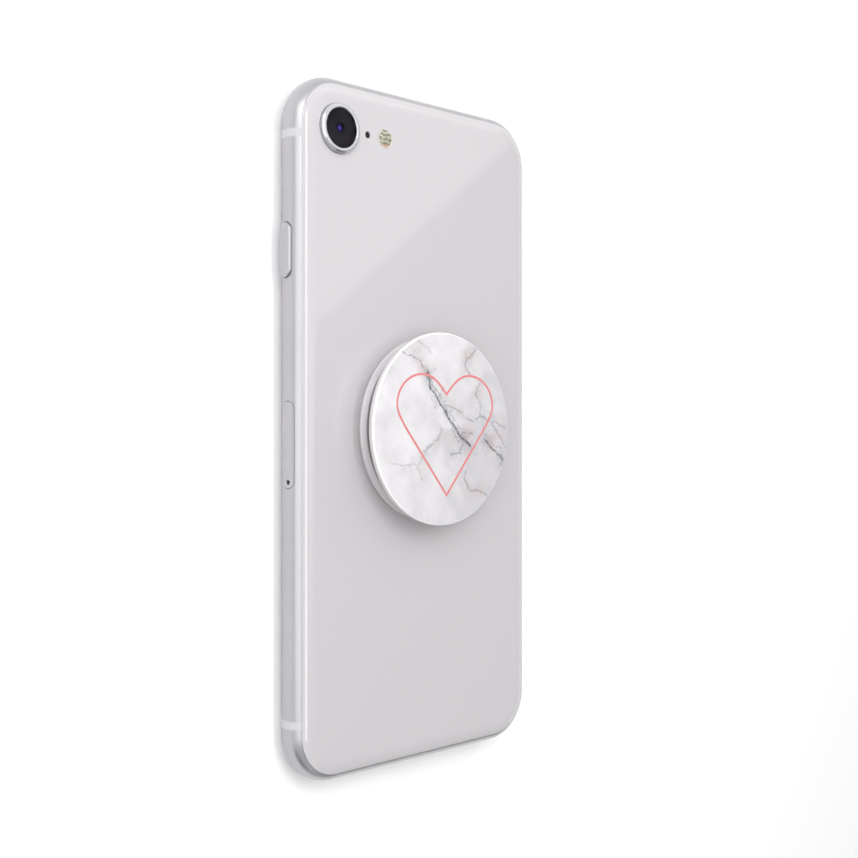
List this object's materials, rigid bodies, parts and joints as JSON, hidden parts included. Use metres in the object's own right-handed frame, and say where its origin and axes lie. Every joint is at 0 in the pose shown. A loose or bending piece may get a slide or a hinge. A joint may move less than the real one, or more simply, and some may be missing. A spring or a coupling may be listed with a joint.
{
  "type": "smartphone with collapsible grip",
  "caption": "Compact white smartphone with a metal side frame, single rear camera, home button, side keys, a sliding card tray and a pull-out round grip stuck to its back.",
  "frame": {"origin": "under the middle of the phone, on the outer face of the front glass, which the phone lies on", "axes": "+Y points to the camera end, +Z out of the back, and +X is to the right as seen from the back"},
  "size_m": [0.0682, 0.1384, 0.0133],
  "materials": {
    "silver_aluminium": "fine bead-blasted and anodised, satin silver",
    "antenna_plastic": "matt, polished level with the metal",
    "white_glass": "glossy glass, opaque, white printed behind",
    "polished_metal": "turned and polished bright",
    "black_glass": "glossy sapphire with a black print behind its rim",
    "sensor_black": "fine matt black",
    "flash_lens": "ribbed clear diffuser over yellow phosphor",
    "steel": "stamped and nickel plated, dull",
    "display_black": "glossy, switched off",
    "battery_wrap": "satin pouch film",
    "circuit_board": "solder mask",
    "copper": "lacquered flat winding",
    "black_rubber": "matt",
    "sim_plastic": "smooth card stock",
    "grip_white": "moulded, smooth",
    "grip_print": "clear-coated print of white marble with a rose outline",
    "grey_foam": "matt adhesive foam"
  },
  "bodies": {
    "phone": {"frame_band": "silver_aluminium", "antenna_strip_top_left": "antenna_plastic", "antenna_strip_top_right": "antenna_plastic", "antenna_strip_bottom_left": "antenna_plastic", "antenna_strip_bottom_right": "antenna_plastic", "back_glass": "white_glass", "back_plate": "steel", "camera_bezel_ring": "polished_metal", "camera_lens_cover": "black_glass", "rear_camera_barrel": "sensor_black", "rear_camera_module": "steel", "flash_lens": "flash_lens", "flash_board": "circuit_board", "rear_microphone": "steel", "front_glass": "white_glass", "display_panel": "display_black", "display_shield_plate": "steel", "display_gasket": "black_rubber", "home_button_ring": "polished_metal", "home_button": "white_glass", "home_button_bracket": "steel", "earpiece_mesh": "black_rubber", "earpiece_speaker": "black_rubber", "front_camera_module": "sensor_black", "battery": "battery_wrap", "logic_board": "circuit_board", "board_shield_lower": "steel", "board_shield_upper": "steel", "haptic_engine": "steel", "loudspeaker_module": "black_rubber", "bottom_microphone": "steel", "wireless_charging_coil": "copper", "charging_port": "steel", "bottom_screw_left": "steel", "bottom_screw_right": "steel", "speaker_mesh": "black_rubber", "microphone_mesh": "black_rubber", "side_button_switch": "steel", "volume_switch_board": "steel", "ring_switch_body": "sensor_black", "sim_reader": "steel", "grip_adhesive_pad": "grey_foam", "grip_base_plate": "grip_white", "grip_bellows": "grip_white"},
    "side_key": {"side_button": "silver_aluminium"},
    "volume_up_key": {"volume_up_button": "silver_aluminium"},
    "volume_down_key": {"volume_down_button": "silver_aluminium"},
    "ring_switch": {"ring_switch_lever": "silver_aluminium"},
    "card_tray": {"sim_tray": "silver_aluminium", "sim_card": "sim_plastic"},
    "grip_head": {"grip_top_plate": "grip_white"},
    "grip_disc": {"grip_top_disc": "grip_print"}
  },
  "joints": [
    {"name": "side_button_press", "type": "slide", "parent": "phone", "child": "side_key", "axis": [1, 0, 0], "range_m": [0, 0.00025], "stiffness_N_per_m": 1500},
    {"name": "volume_up_press", "type": "slide", "parent": "phone", "child": "volume_up_key", "axis": [-1, 0, 0], "range_m": [0, 0.00025], "stiffness_N_per_m": 1500},
    {"name": "volume_down_press", "type": "slide", "parent": "phone", "child": "volume_down_key", "axis": [-1, 0, 0], "range_m": [0, 0.00025], "stiffness_N_per_m": 1500},
    {"name": "ring_switch_slide", "type": "slide", "parent": "phone", "child": "ring_switch", "axis": [0, 0, 1], "range_m": [0, 0.0012]},
    {"name": "card_tray_slide", "type": "slide", "parent": "phone", "child": "card_tray", "axis": [-1, 0, 0], "range_m": [0, 0.022]},
    {"name": "grip_extend", "type": "slide", "parent": "phone", "child": "grip_head", "axis": [0, 0, 1], "range_m": [0, 0.016], "deforming": ["grip_bellows"]},
    {"name": "grip_disc_turn", "type": "hinge", "parent": "grip_head", "child": "grip_disc", "pos_m": [0, 0, 0.012], "axis": [0, 0, 1], "range_deg": [0, 90]}
  ]
}
